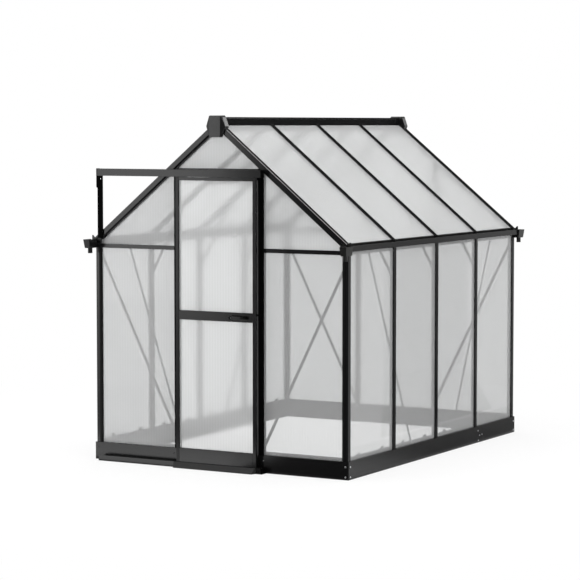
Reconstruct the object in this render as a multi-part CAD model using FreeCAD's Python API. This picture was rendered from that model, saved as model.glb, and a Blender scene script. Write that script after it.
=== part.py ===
import FreeCAD, Part
import math
import os

# Gable roof greenhouse with a sliding door: a dark powder-coated aluminium frame glazed with
# twin-wall sheet. Millimetres, +Z up, +Y along the ridge, the door gable faces -Y.
# The origin lies on the ground under the middle of the house.

V = FreeCAD.Vector

# Driving dimensions
WIDTH = 1900.0            # outside of the base, across the gable
LENGTH = 2560.0           # outside of the base, along the ridge
BASE_H = 114.0            # height of the folded base channel
BASE_FLANGE = 46.0        # its top and bottom flange, turned inwards
BASE_WALL = 2.0
BASE_SPLIT_Y = 655.0      # joint of the two lengths of each long base side
ANCHOR_Y = 1100.0         # ground anchor holes in the bottom flanges
ANCHOR_R = 6.0
POST_INSET = 8.0          # posts stand back this far from the base
POST_W = 36.0
POST_D = 34.0
BAYS = 4                  # bays of the long wall
EAVE_Z = 1428.0           # top of the wall posts, underside of the gutter
PITCH = math.radians(39.2)
APEX_Z = 2239.0           # where the top faces of the two slopes would meet
GLASS_T = 4.0             # twin-wall sheet
GLASS_N = 8.5             # sheet face below the outer face of its bars
SLOT = 5.0                # slot that takes the sheet
BITE = 7.0                # sheet edge from the middle of a bar
BAR_DEPTH = 32.0
EAVE_S = 1215.0           # slope length of the bars' outer flange
SEAT_S = 1180.0           # slope length of their inner flange, which meets the gutter
RIDGE_HALF = 24.0
RIDGE_TOP = 2262.0
RIDGE_BOTTOM = 2165.0
GABLE_OUT = 10.0          # gable rafters stand this far in front of the base
GABLE_DEEP = 43.0
CROSS_Z0 = 1405.0         # gable cross bars at eave height
CROSS_Z1 = 1431.0
DOOR_POST_X = 316.0       # middle of the posts beside the doorway
DOOR_STOP = 16.0          # flange on them that the closed door laps
HEADER_Z0 = 1902.0
HEADER_Z1 = 1934.0
TRACK_X0 = -888.0
TRACK_X1 = 350.0
TRACK_Z0 = 1880.0
TRACK_Z1 = 1927.0
TRACK_BACK = 22.0         # track, door and guide, measured forwards from the base face
TRACK_FRONT = 56.0
TRACK_WALL = 2.5
TRACK_SLOT = 12.0
DOOR_MID = 39.0
DOOR_T = 20.0
DOOR_X0 = -288.0
DOOR_X1 = 311.0
DOOR_Z0 = 34.0
DOOR_Z1 = 1878.5
STILE_W = 25.0
ROLLER_R = 14.0
ROLLER_INSET = 54.0
LATCH_X = 222.0
LATCH_Z = 986.0
LATCH_OPEN = math.radians(15.0)
VENT_BAY = 1              # bay of the left slope, counted from the door gable
VENT_S0 = 52.0
VENT_S1 = 600.0
VENT_AXIS_S = 42.0
VENT_AXIS_N = 5.0

HALF_W = WIDTH / 2
FRONT = -LENGTH / 2
SIN = math.sin(PITCH)
COS = math.cos(PITCH)
POST_OUT = HALF_W - POST_INSET
WALL_Y = LENGTH / 2 - POST_INSET
CORNER_Y = WALL_Y - POST_D / 2
BAY = 2 * CORNER_Y / BAYS
BAR_Y = [-CORNER_Y + BAY * k for k in range(BAYS + 1)]
PANE_Z0 = BASE_H + 1
EAVE_RAIL = 23.0


def box(x0, x1, y0, y1, z0, z1):
    """Box from its lowest to its highest corner."""
    return Part.makeBox(x1 - x0, y1 - y0, z1 - z0, V(x0, y0, z0))


def prism(points, along):
    """Straight extrusion of a closed outline of vectors."""
    wire = Part.makePolygon(points + points[:1])
    return Part.Face(wire).extrude(along)


def along_x(outline, x0, x1):
    """Profile drawn as (y, z), extruded along X."""
    return prism([V(x0, y, z) for y, z in outline], V(x1 - x0, 0, 0))


def along_y(outline, y0, y1):
    """Profile drawn as (x, z), extruded along Y."""
    return prism([V(x, y0, z) for x, z in outline], V(0, y1 - y0, 0))


def along_z(outline, z0, z1):
    """Profile drawn as (x, y), extruded along Z."""
    return prism([V(x, y, z0) for x, y in outline], V(0, 0, z1 - z0))


def mirror_x(shape):
    return shape.mirror(V(0, 0, 0), V(1, 0, 0))


def mirror_y(shape):
    return shape.mirror(V(0, 0, 0), V(0, 1, 0))


def both_sides(shape):
    return [shape, mirror_x(shape)]


def all_corners(shape):
    return both_sides(shape) + both_sides(mirror_y(shape))


def slope_point(s, n, y):
    """Point of the right slope: s down the slope from the apex line, n out of its face."""
    return V(s * COS + n * SIN, y, APEX_Z - s * SIN + n * COS)


def slope_z(x, n):
    """Height over x of the line that runs n outside the right slope's face."""
    return APEX_Z + (n - x * SIN) / COS


def slope_bar(outline, s0, s1):
    """Profile drawn as (y, n), extruded down the right slope."""
    run = slope_point(s1, 0, 0) - slope_point(s0, 0, 0)
    return prism([slope_point(s0, n, y) for y, n in outline], run)


def slope_box(y0, y1, n0, n1, s0, s1):
    return slope_bar([(y0, n0), (y1, n0), (y1, n1), (y0, n1)], s0, s1)


def clear_of_ridge(shape):
    """Cuts the upper end of a right-hand bar plumb, where it butts against the ridge beam."""
    return shape.cut(box(-HALF_W, RIDGE_HALF + 1, -LENGTH, LENGTH, 0, 3000))


def export(node, *solids):
    """Writes one node as a solid or as a group of separate solids."""
    shape = solids[0] if len(solids) == 1 else Part.makeCompound(list(solids))
    shape.exportStep("parts/" + node + ".step")


def channel_outline(outer, inward):
    """Folded base channel: web outside, both flanges turned towards the middle of the house."""
    t = BASE_WALL
    web = outer + inward * t
    lip = outer + inward * BASE_FLANGE
    return [(outer, 0), (lip, 0), (lip, t), (web, t), (web, BASE_H - t), (lip, BASE_H - t),
            (lip, BASE_H), (outer, BASE_H)]


def base_side(x_sign):
    """Long base side in two lengths, with holes for ground anchors."""
    profile = channel_outline(x_sign * HALF_W, -x_sign)
    end = LENGTH / 2 - BASE_WALL
    hole_x = x_sign * (HALF_W - BASE_FLANGE / 2)
    pieces = []
    for y0, y1, hole_y in ((-end, BASE_SPLIT_Y - 0.5, -ANCHOR_Y), (BASE_SPLIT_Y + 0.5, end, ANCHOR_Y)):
        piece = along_y(profile, y0, y1)
        hole = Part.makeCylinder(ANCHOR_R, 3 * BASE_WALL, V(hole_x, hole_y, -BASE_WALL))
        pieces.append(piece.cut(hole))
    return pieces


def base_end(x0, x1, y_sign):
    """Base channel across a gable; its web runs on to cover the ends of the side channels."""
    profile = channel_outline(y_sign * LENGTH / 2, -y_sign)
    piece = along_x(profile, x0, x1)
    inner = HALF_W - BASE_FLANGE - 1
    y0, y1 = sorted((y_sign * (LENGTH / 2 - BASE_WALL), y_sign * (LENGTH / 2 - BASE_FLANGE - 1)))
    for corner in both_sides(box(inner, HALF_W + 1, y0, y1, -1, BASE_H + 1)):
        piece = piece.cut(corner)
    return piece


def base_joint_plate():
    """Splice plate on the inner face of the right base side."""
    x1 = HALF_W - BASE_WALL
    plate = box(x1 - 2, x1, BASE_SPLIT_Y - 60, BASE_SPLIT_Y + 60, 18, BASE_H - 18)
    return plate.makeChamfer(8, [edge for edge in plate.Edges if runs_along(edge, "x")])


def base_corner_angle():
    """Angle inside the front right corner of the base."""
    x1 = HALF_W - BASE_WALL
    y0 = FRONT + BASE_WALL
    outline = [(x1, y0), (x1, y0 + 40), (x1 - 3, y0 + 40), (x1 - 3, y0 + 3), (x1 - 40, y0 + 3),
               (x1 - 40, y0)]
    return along_z(outline, 10, BASE_H - 10)


def door_sill():
    """Low sill between the two front base pieces, with worn-down edges and a drip groove."""
    half = DOOR_POST_X - POST_W / 2 + 1
    y0 = FRONT
    outline = [(y0, 0), (y0 + 46, 0), (y0 + 46, 6), (y0 + 38, 12), (y0 + 26, 12), (y0 + 26, 9),
               (y0 + 20, 9), (y0 + 20, 12), (y0 + 8, 12), (y0, 6)]
    return along_x(outline, -half + 1.5, half - 1.5)


def bar_outline():
    """Glazing bar as (across, outward): outer flange, web between two sheet slots, inner flange."""
    wide = POST_W / 2
    web = BITE - 2
    inner = wide - 3
    top = GLASS_N - 0.5
    low = top + SLOT
    return [(-wide, -top), (-wide, -1), (-wide + 1, 0), (wide - 1, 0), (wide, -1), (wide, -top),
            (web, -top), (web, -low), (inner, -low), (inner, -BAR_DEPTH), (-inner, -BAR_DEPTH),
            (-inner, -low), (-web, -low), (-web, -top)]


def side_post(y):
    """Right wall post at a bay line."""
    return along_z([(POST_OUT + n, y + a) for a, n in bar_outline()], BASE_H, EAVE_Z)


def gable_post(x):
    """Post of the back gable, cut to the slope under the rafter."""
    post = along_z([(x + a, WALL_Y + n) for a, n in bar_outline()], BASE_H, APEX_Z)
    return post.cut(over_rafters())


def over_rafters():
    """Everything above the undersides of the gable rafters."""
    low = slope_z(0, -44.5)
    outline = [(0, low), (HALF_W, slope_z(HALF_W, -44.5)), (HALF_W, 3000), (-HALF_W, 3000),
               (-HALF_W, slope_z(HALF_W, -44.5))]
    return along_y(outline, -LENGTH, LENGTH)


def corner_post():
    """Front right corner post with a sheet slot towards each wall."""
    y0 = -WALL_Y
    post = box(POST_OUT - POST_W, POST_OUT, y0, y0 + POST_D, BASE_H, EAVE_Z)
    near = GLASS_N - 0.5
    slots = (box(POST_OUT - POST_W, POST_OUT - POST_W + 10, y0 + near, y0 + near + SLOT, 0, 2000),
             box(POST_OUT - near - SLOT, POST_OUT - near, y0 + POST_D - 12, y0 + POST_D, 0, 2000))
    hollow = box(POST_OUT - 24, POST_OUT - near - SLOT - 2.5, y0 + 2.5, y0 + POST_D - 2.5, 0, 2000)
    for gap in slots + (hollow,):
        post = post.cut(gap)
    return post


def door_post():
    """Right doorway post: sheet slot outside, stop flange to the doorway, cut to the slope on top."""
    x0 = DOOR_POST_X - POST_W / 2
    y0 = -WALL_Y
    post = box(x0, x0 + POST_W, y0, y0 + POST_D, BASE_H, APEX_Z)
    near = GLASS_N - 0.5
    post = post.cut(box(x0 + POST_W - 9, x0 + POST_W, y0 + near, y0 + near + SLOT, 0, APEX_Z))
    hollow = box(x0 + 2.5, x0 + POST_W - 11.5, y0 + 2.5, y0 + POST_D - 2.5, 0, APEX_Z)
    stop = box(x0 - DOOR_STOP, x0, y0, y0 + 4, BASE_H, HEADER_Z0 - 1)
    return post.cut(hollow).cut(over_rafters()).fuse(stop).removeSplitter()


def wall_rails():
    """Rails behind the sheets of the walls, along the base and under the gutter."""
    n0 = GLASS_N + SLOT
    rails = []
    for k in range(BAYS):
        y0 = BAR_Y[k] + POST_W / 2
        y1 = BAR_Y[k + 1] - POST_W / 2
        for z0, z1 in ((BASE_H, BASE_H + 20), (EAVE_Z - EAVE_RAIL, EAVE_Z)):
            rails += both_sides(box(POST_OUT - BAR_DEPTH, POST_OUT - n0, y0, y1, z0, z1))
    inner = POST_OUT - POST_W
    front_x = DOOR_POST_X + POST_W / 2
    rails += both_sides(box(front_x, inner, -WALL_Y + n0, -WALL_Y + BAR_DEPTH, BASE_H, BASE_H + 20))
    for x0, x1 in back_bays():
        rails.append(box(x0, x1, WALL_Y - BAR_DEPTH, WALL_Y - n0, BASE_H, BASE_H + 20))
    return rails


def back_bays():
    """Clear widths between the posts of the back gable."""
    side = DOOR_POST_X + POST_W / 2
    inner = POST_OUT - POST_W
    middle = DOOR_POST_X - POST_W / 2
    return ((-inner, -side), (-middle, middle), (side, inner))


def panel_clips():
    """Small sprung clips that press the wall sheets onto the base rail, two to a bay."""
    clips = []
    outer = POST_OUT - GLASS_N - SLOT
    z0 = BASE_H + 20
    profile = [(outer - 12, z0), (outer, z0), (outer, z0 + 17), (outer - 3, z0 + 20), (outer - 8, z0 + 9),
               (outer - 12, z0 + 6)]
    for k in range(BAYS):
        for share in (0.24, 0.76):
            y = BAR_Y[k] + BAY * share
            clips += both_sides(along_y(profile, y - 14, y + 14))
    return clips


def gutter():
    """Right gutter, also the wall's top beam: back leg notched for the gables, open trough, front lip."""
    back = 898.0
    front = 966.0
    t = 2.5
    z0 = EAVE_Z
    outline = [(back, z0), (front, z0), (front, z0 + 36), (front - 5, z0 + 36), (front - 5, z0 + 33),
               (front - t, z0 + 33), (front - t, z0 + t), (back + 3, z0 + t), (back + 3, z0 + 44),
               (back, z0 + 44)]
    end = LENGTH / 2
    beam = along_y(outline, -end, end)
    notch = box(back - 1, POST_OUT - POST_W + 1, -end - 1, -WALL_Y + POST_D, z0 - 1, z0 + 60)
    return beam.cut(notch).cut(mirror_y(notch))


def rectangle_wire(x0, x1, y0, y1, z):
    corners = [V(x0, y0, z), V(x1, y0, z), V(x1, y1, z), V(x0, y1, z)]
    return Part.makePolygon(corners + corners[:1])


def gutter_spout():
    """Tapered rain head at the front end of the right gutter, with a stub and the gutter's end plate."""
    top = 1461.0
    bottom = 1404.0
    mid_x = 950.0
    mid_y = FRONT - 50
    outer = Part.makeLoft([rectangle_wire(930, 978, FRONT - 90, FRONT, top),
                           rectangle_wire(934, 972, FRONT - 80, FRONT, bottom)], True, True)
    inner = Part.makeLoft([rectangle_wire(932.5, 975.5, FRONT - 87.5, FRONT + 1, top + 1),
                           rectangle_wire(936.5, 969.5, FRONT - 77.5, FRONT - 3, bottom + 2.5)], True, True)
    stub = Part.makeCylinder(15, 36, V(mid_x, mid_y, bottom - 34))
    plate = along_y([(889, 1432), (903, 1432), (903, 1450), (966, 1450), (966, 1487), (957, 1487),
                     (936, 1461.5), (933.5, 1460.5), (907.5, 1481.5), (889, 1459)], FRONT - 3, FRONT)
    spout = outer.cut(inner).fuse([stub, plate])
    bore = Part.makeCylinder(12.5, 60, V(mid_x, mid_y, bottom - 40))
    return spout.cut(bore).removeSplitter()


def ridge_beam():
    """Hollow ridge beam with a bevelled weather cap on top."""
    w = RIDGE_HALF
    outline = [(-w, RIDGE_BOTTOM), (w, RIDGE_BOTTOM), (w, RIDGE_TOP - 9), (w - 10, RIDGE_TOP),
               (-w + 10, RIDGE_TOP), (-w, RIDGE_TOP - 9)]
    v = w - 3
    hollow = [(-v, RIDGE_BOTTOM + 3), (v, RIDGE_BOTTOM + 3), (v, RIDGE_TOP - 12), (-v, RIDGE_TOP - 12)]
    end = -FRONT + GABLE_OUT
    return along_y(outline, -end, end).cut(along_y(hollow, -end, end))


def facet(*corners):
    """Flat face through its corners."""
    return Part.Face(Part.makePolygon(list(corners) + [corners[0]]))


def cap_nose(front, wide):
    """Solid between the flat front and the wide outline of the cap, given by their right halves."""
    front_low, front_high = front
    low, waist, shoulder, high = wide
    left = [V(-p.x, p.y, p.z) for p in (front_low, front_high, low, waist, shoulder, high)]
    faces = [facet(front_low, front_high, left[1], left[0]), facet(front_high, high, left[5], left[1]),
             facet(low, front_low, left[0], left[2]), facet(*wide, *reversed(left[2:]))]
    for a, b, c, d, e, f in ((front_low, front_high, low, waist, shoulder, high), left):
        faces += [facet(a, b, d), facet(a, d, c), facet(b, e, d), facet(b, f, e)]
    nose = Part.Solid(Part.Shell(faces))
    if nose.Volume < 0:
        nose.reverse()
    return nose


def ridge_cap():
    """Faceted cap on the door end of the ridge: tapered nose, and a hood over the heads of the rafters."""
    y_wide = FRONT - 20
    y_back = FRONT - GABLE_OUT
    wide = [V(x, y_wide, z) for x, z in ((45, 2133), (71, 2203), (50, 2261), (42, 2272))]
    front = [V(40, FRONT - 35, 2136), V(40, FRONT - 35, 2270)]
    outline = facet(*wide, *[V(-p.x, p.y, p.z) for p in reversed(wide)])
    body = outline.extrude(V(0, y_back - y_wide, 0))
    hood = outline.extrude(V(0, 45, 0))
    free = 0.5
    low = RIDGE_BOTTOM - 60
    under = [(0, low), (100, low), (100, slope_z(100, free)), (0, slope_z(0, free))]
    side = RIDGE_HALF + free
    peak = RIDGE_TOP + free
    beam = [(0, low), (side, low), (side, RIDGE_TOP - 9), (side - 10, peak), (0, peak)]
    for room in (under, beam):
        for part in both_sides(along_y(room, y_back, FRONT + 40)):
            hood = hood.cut(part)
    return cap_nose(front, wide).fuse([body, hood]).removeSplitter()


def gable_rafter():
    """Front right rafter: deep front face, set-back lip with the gable sheet's slot, roof slot inside."""
    y0 = FRONT - GABLE_OUT
    y1 = y0 + GABLE_DEEP
    lip = -WALL_Y
    groove = (y0 + 21, y0 + 25)
    top = -GLASS_N + 0.5
    outer = [(y0, -12), (y0, -1), (y0 + 1, 0), (groove[0], 0), (groove[0], -3), (groove[1], -3),
             (groove[1], 0), (y1, 0), (y1, top), (y1 - 10, top), (y1 - 10, -12)]
    near = lip + GLASS_N - 0.5
    inner = [(y0, -12), (y1 - 10, -12), (y1 - 10, top - SLOT), (y1, top - SLOT), (y1, -44),
             (near + SLOT, -44), (near + SLOT, -36), (near, -36), (near, -44), (lip, -44), (lip, -32),
             (y0, -32)]
    rafter = slope_bar(outer, 0, EAVE_S).fuse(slope_bar(inner, 0, SEAT_S)).removeSplitter()
    return clear_of_ridge(rafter)


def roof_bar(y):
    """Right roof bar: the inner flange stops at the gutter's back leg, the outer one laps the trough."""
    outline = bar_outline()
    low = -GLASS_N - SLOT + 0.5
    outer = [(a, max(n, low)) for a, n in outline[:8]] + [(-BITE + 2, low), (-BITE + 2, -GLASS_N + 0.5)]
    half = POST_W / 2 - 3
    bar = slope_bar(outer, 0, EAVE_S).fuse(slope_box(-half, half, -BAR_DEPTH, low, 0, SEAT_S))
    bar = clear_of_ridge(bar.removeSplitter())
    bar.translate(V(0, y, 0))
    return bar


def gable_bars():
    """Cross bars of both gables at eave height, slotted above and below for the sheets."""
    y0 = -WALL_Y + 2
    y1 = y0 + 26
    slot0 = -WALL_Y + GLASS_N - 0.5
    slot1 = slot0 + SLOT
    low = CROSS_Z0 + 8
    high = CROSS_Z1 - 8
    outline = [(y0, CROSS_Z0), (slot0, CROSS_Z0), (slot0, low), (slot1, low), (slot1, CROSS_Z0),
               (y1, CROSS_Z0), (y1, CROSS_Z1), (slot1, CROSS_Z1), (slot1, high), (slot0, high),
               (slot0, CROSS_Z1), (y0, CROSS_Z1)]
    inner = POST_OUT - POST_W
    bars = both_sides(along_x(outline, DOOR_POST_X + POST_W / 2, inner))
    for x0, x1 in back_bays():
        bars.append(mirror_y(along_x(outline, x0, x1)))
    return bars


def door_header():
    """Bar over the doorway, slotted on top for the sheet in the peak of the gable."""
    half = DOOR_POST_X - POST_W / 2
    y0 = -WALL_Y
    near = y0 + GLASS_N - 0.5
    outline = [(y0, HEADER_Z0), (y0 + POST_D, HEADER_Z0), (y0 + POST_D, HEADER_Z1), (near + SLOT, HEADER_Z1),
               (near + SLOT, HEADER_Z1 - 8), (near, HEADER_Z1 - 8), (near, HEADER_Z1), (y0, HEADER_Z1)]
    return along_x(outline, -half, half).cut(over_rafters())


def side_panels():
    """Sheets of the right wall, one to a bay."""
    x1 = POST_OUT - GLASS_N
    sheets = []
    for k in range(BAYS):
        y0 = BAR_Y[k] + BITE
        y1 = BAR_Y[k + 1] - BITE
        sheets.append(box(x1 - GLASS_T, x1, y0, y1, PANE_Z0, EAVE_Z - 1))
    return sheets


def under_rafter(x):
    """Height of a gable sheet's sloping edge, inside the slot of the rafter."""
    return slope_z(x, -38)


def gable_sheet(outline, back):
    """Gable sheet drawn as (x, z), in the wall of the door gable or of the back gable."""
    y0 = -WALL_Y + GLASS_N
    sheet = along_y(outline, y0, y0 + GLASS_T)
    return mirror_y(sheet) if back else sheet


def gable_panels(back):
    """Sheets of one gable: outer bays below and above the cross bar, and the middle."""
    tip = POST_OUT - POST_W - 1
    outer = POST_OUT - POST_W + BITE
    inner = DOOR_POST_X + (BITE if back else POST_W / 2 - BITE)
    low = [(inner, PANE_Z0), (outer, PANE_Z0), (outer, CROSS_Z0 + 6), (inner, CROSS_Z0 + 6)]
    foot = CROSS_Z1 - 6
    high = [(inner, foot), (tip, foot), (tip, under_rafter(tip)), (inner, under_rafter(inner))]
    sheets = []
    for outline in (low, high):
        sheets += both_sides(gable_sheet(outline, back))
    ridge = RIDGE_BOTTOM - 2
    top_x = (APEX_Z - ridge - 38 / COS) * COS / SIN
    half = DOOR_POST_X - POST_W / 2 - 1
    if back:
        half = DOOR_POST_X - BITE
        low_top = CROSS_Z0 + 6
        lower = [(-half, PANE_Z0), (half, PANE_Z0), (half, low_top), (-half, low_top)]
        sheets.append(gable_sheet(lower, back))
    else:
        foot = HEADER_Z1 - 6
    peak = [(half, under_rafter(half)), (top_x, ridge), (-top_x, ridge), (-half, under_rafter(half))]
    sheets.append(gable_sheet([(-half, foot), (half, foot)] + peak, back))
    return sheets


def roof_panel(k, s0):
    """Sheet of the right slope in bay k, from s0 down to the gutter."""
    y0 = BAR_Y[k] + BITE
    y1 = BAR_Y[k + 1] - BITE
    inner_edge = -FRONT + GABLE_OUT - GABLE_DEEP + 8
    y0 = max(y0, -inner_edge)
    y1 = min(y1, inner_edge)
    return clear_of_ridge(slope_box(y0, y1, -GLASS_N - GLASS_T, -GLASS_N, s0, 1205))


def roof_panels(left):
    """Sheets of one slope; the bay with the roof vent has only the lower one on the left."""
    sheets = []
    for k in range(BAYS):
        sheet = roof_panel(k, VENT_S1 + 24 if left and k == VENT_BAY else 0)
        sheets.append(mirror_x(sheet) if left else sheet)
    return sheets


def strut(a, b, width, thick, flat):
    """Flat bar with clipped corners, its end holes at a and b; flat is the direction of its thickness."""
    along = (b - a).normalize()
    half = width / 2
    side = along.cross(flat).normalize() * half
    back = V(flat).normalize() * (thick / 2)
    clip = along * (half * 0.5)
    reach = along * half
    far = [b + clip - side, b + reach - side * 0.5, b + reach + side * 0.5, b + clip + side]
    near = [a - clip + side, a - reach + side * 0.5, a - reach - side * 0.5, a - clip - side]
    return prism([point - back for point in far + near], back * 2)


def gable_braces():
    """Diagonal flat bars inside the outer bays of both gables."""
    y = -WALL_Y + POST_D + 2
    brace = strut(V(POST_OUT - 24, y, EAVE_Z - 70), V(DOOR_POST_X, y, BASE_H + 40), 20, 3, V(0, 1, 0))
    return all_corners(brace)


def side_braces():
    """Diagonal flat bars inside the long walls, from the eave of an end bay to the foot of the next."""
    x = POST_OUT - POST_D - 4
    brace = strut(V(x, FRONT + 345, EAVE_Z - 12), V(x, FRONT + 960, BASE_H + 12), 20, 3, V(1, 0, 0))
    return all_corners(brace)


def knee_braces():
    """Flat bars from each inner wall post up to its roof bar."""
    bars = []
    foot = POST_OUT - 26
    head_s = 915.0
    top = slope_point(head_s, -BAR_DEPTH + 5, 0)
    for y in BAR_Y[1:-1]:
        beside = y + POST_W / 2 - 3 + 2
        knee = strut(V(foot, beside, 1222), V(top.x, beside, top.z), 18, 3, V(0, 1, 0))
        bars += both_sides(knee)
    return bars


def forward(distance):
    """Y of a plane in front of the base's door face."""
    return FRONT - distance


def door_track():
    """Top track: a C channel whose two lips carry the door rollers."""
    y0 = forward(TRACK_FRONT)
    y1 = forward(TRACK_BACK)
    t = TRACK_WALL
    slot0 = forward(DOOR_MID) - TRACK_SLOT / 2
    slot1 = slot0 + TRACK_SLOT
    lip = TRACK_Z0 + t
    roof = TRACK_Z1 - t
    outline = [(y0, TRACK_Z0), (slot0, TRACK_Z0), (slot0, lip), (y0 + t, lip), (y0 + t, roof), (y1 - t, roof),
               (y1 - t, lip), (slot1, lip), (slot1, TRACK_Z0), (y1, TRACK_Z0), (y1, TRACK_Z1), (y0, TRACK_Z1)]
    return along_x(outline, TRACK_X0, TRACK_X1)


def track_end_caps():
    """Moulded caps that close the track and stop the door."""
    y0 = forward(TRACK_FRONT + 1)
    y1 = forward(TRACK_BACK)
    left = box(TRACK_X0 - 6, TRACK_X0, y0, y1, TRACK_Z0 - 1, TRACK_Z1 + 1)
    right = box(TRACK_X1, TRACK_X1 + 6, y0, y1, TRACK_Z0 - 1, TRACK_Z1 + 1)
    guide = box(TRACK_X1, TRACK_X1 + 8, forward(58), forward(0), 0, 37)
    return left, right, guide


def track_upright():
    """Hollow upright on the rafter foot that carries the free end of the track."""
    y0 = forward(TRACK_BACK)
    y1 = forward(GABLE_OUT)
    x0 = -909.0
    x1 = -872.0
    tube = box(x0, x1, y0, y1, 1470, TRACK_Z1 - 2)
    return tube.cut(box(x0 + 2, x1 - 2, y0 + 2, y1 - 2, 1460, TRACK_Z1))


def track_brackets():
    """Plate on the upright under the track's end, and spacers from the doorway posts to the track."""
    top = TRACK_Z0 - 1.5
    plate = along_y([(-916, 1806), (-907, 1797), (-872, 1797), (-872, top), (-916, top)],
                    forward(TRACK_BACK + 3), forward(TRACK_BACK))
    spacer = box(DOOR_POST_X - 12, DOOR_POST_X + 12, forward(TRACK_BACK), forward(-POST_INSET), 1888, 1920)
    return [plate] + both_sides(spacer)


def bottom_guide():
    """Floor channel in front of the base that keeps the foot of the door in line."""
    y0 = forward(58)
    y1 = forward(TRACK_BACK)
    t = 2.5
    top = 37
    outline = [(y0, 0), (FRONT, 0), (FRONT, t), (y1, t), (y1, top), (y1 - t, top), (y1 - t, t), (y0 + t, t),
               (y0 + t, top), (y0, top)]
    return along_x(outline, -888, TRACK_X1)


def threshold_ramp():
    """Wedge in front of the doorway, bevelled at both ends."""
    y0 = forward(90)
    y1 = forward(58)
    wedge = along_x([(y0, 0), (y1, 0), (y1, 36), (y1 - 6, 36), (y0, 5)], -310, 320)
    plan = along_z([(-288, y0), (298, y0), (312, y1), (-302, y1)], -1, 60)
    return wedge.common(plan)


def latch_keeper():
    """Plate and pin on the right doorway post that the door's hook drops over."""
    y1 = forward(-POST_INSET)
    plate = box(307, 331, y1 - 2, y1, LATCH_Z - 26, LATCH_Z + 10)
    pin = Part.makeCylinder(3, 33, V(320, y1 - 2, LATCH_Z - 10), V(0, -1, 0))
    return plate.fuse(pin).removeSplitter()


DOOR_Y0 = forward(DOOR_MID + DOOR_T / 2)
DOOR_Y1 = forward(DOOR_MID - DOOR_T / 2)
PANE_Y0 = forward(DOOR_MID) - GLASS_T / 2
SLOT_Y0 = forward(DOOR_MID) - SLOT / 2
MID_Z0 = 962.0
MID_Z1 = 1022.0
FOOT_Z1 = 128.0
HEAD_Z0 = 1857.0


def runs_along(edge, axis):
    """True for a straight edge in the direction of the named axis."""
    return abs(getattr(edge.tangentAt(edge.FirstParameter), axis)) > 0.9


def left_door_stile():
    """Hollow left upright of the door, bevelled in front and slotted for the sheets."""
    x1 = DOOR_X0 + STILE_W
    stile = box(DOOR_X0, x1, DOOR_Y0, DOOR_Y1, DOOR_Z0, DOOR_Z1)
    arris = [e for e in stile.Edges if runs_along(e, "z") and e.CenterOfMass.y < DOOR_Y0 + 1]
    stile = stile.makeChamfer(1.5, arris)
    hollow = box(DOOR_X0 + 2, x1 - 10, DOOR_Y0 + 2, DOOR_Y1 - 2, DOOR_Z0 - 1, DOOR_Z1 + 1)
    return stile.cut(hollow).cut(box(x1 - 8, x1, SLOT_Y0, SLOT_Y0 + SLOT, DOOR_Z0 + 20, DOOR_Z1 - 10))


def right_door_stile():
    """The left upright turned over to the other side of the door."""
    middle = V((DOOR_X0 + DOOR_X1) / 2, 0, 0)
    return left_door_stile().mirror(middle, V(1, 0, 0))


def door_rail(z0, z1, slots):
    """Rail between the stiles, slotted where a sheet enters."""
    rail = box(DOOR_X0 + STILE_W, DOOR_X1 - STILE_W, DOOR_Y0, DOOR_Y1, z0, z1)
    for slot_z in slots:
        rail = rail.cut(box(DOOR_X0, DOOR_X1, SLOT_Y0, SLOT_Y0 + SLOT, slot_z, slot_z + 8))
    return rail


def oblong(x0, x1, z_mid, radius, y0, y1):
    """Flat-sided block with round ends, standing in the door's face."""
    a = x0 + radius
    b = x1 - radius
    low = z_mid - radius
    high = z_mid + radius
    edges = [Part.LineSegment(V(a, y0, low), V(b, y0, low)).toShape(),
             Part.Arc(V(b, y0, low), V(x1, y0, z_mid), V(b, y0, high)).toShape(),
             Part.LineSegment(V(b, y0, high), V(a, y0, high)).toShape(),
             Part.Arc(V(a, y0, high), V(x0, y0, z_mid), V(a, y0, low)).toShape()]
    return Part.Face(Part.Wire(edges)).extrude(V(0, y1 - y0, 0))


HANDLE_X0 = 108.0
HANDLE_X1 = 250.0
HANDLE_R = 11.5
HANDLE_DEEP = 13.0


def door_mid_rail():
    """Lock rail with the pocket of the pull handle and the bore of the latch spindle."""
    rail = door_rail(MID_Z0, MID_Z1, (MID_Z0, MID_Z1 - 8))
    floor = DOOR_Y0 + HANDLE_DEEP + 0.3
    pocket = oblong(HANDLE_X0 - 0.3, HANDLE_X1 + 0.3, LATCH_Z, HANDLE_R + 0.3, DOOR_Y0 - 1, floor)
    bore = Part.makeCylinder(4.5, 60, V(LATCH_X, DOOR_Y0 - 20, LATCH_Z), V(0, 1, 0))
    return rail.cut(pocket).cut(bore)


def door_handle():
    """Moulded finger pull let into the lock rail: a raised rim round a dished tray."""
    rim = oblong(HANDLE_X0, HANDLE_X1, LATCH_Z, HANDLE_R, DOOR_Y0 - 1, DOOR_Y0 + HANDLE_DEEP)
    tray = oblong(HANDLE_X0 + 2, HANDLE_X1 - 2, LATCH_Z, HANDLE_R - 2, DOOR_Y0 - 2, DOOR_Y0 + HANDLE_DEEP - 2)
    bore = Part.makeCylinder(4.5, 60, V(LATCH_X, DOOR_Y0 - 20, LATCH_Z), V(0, 1, 0))
    return rim.cut(tray).cut(bore)


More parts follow.
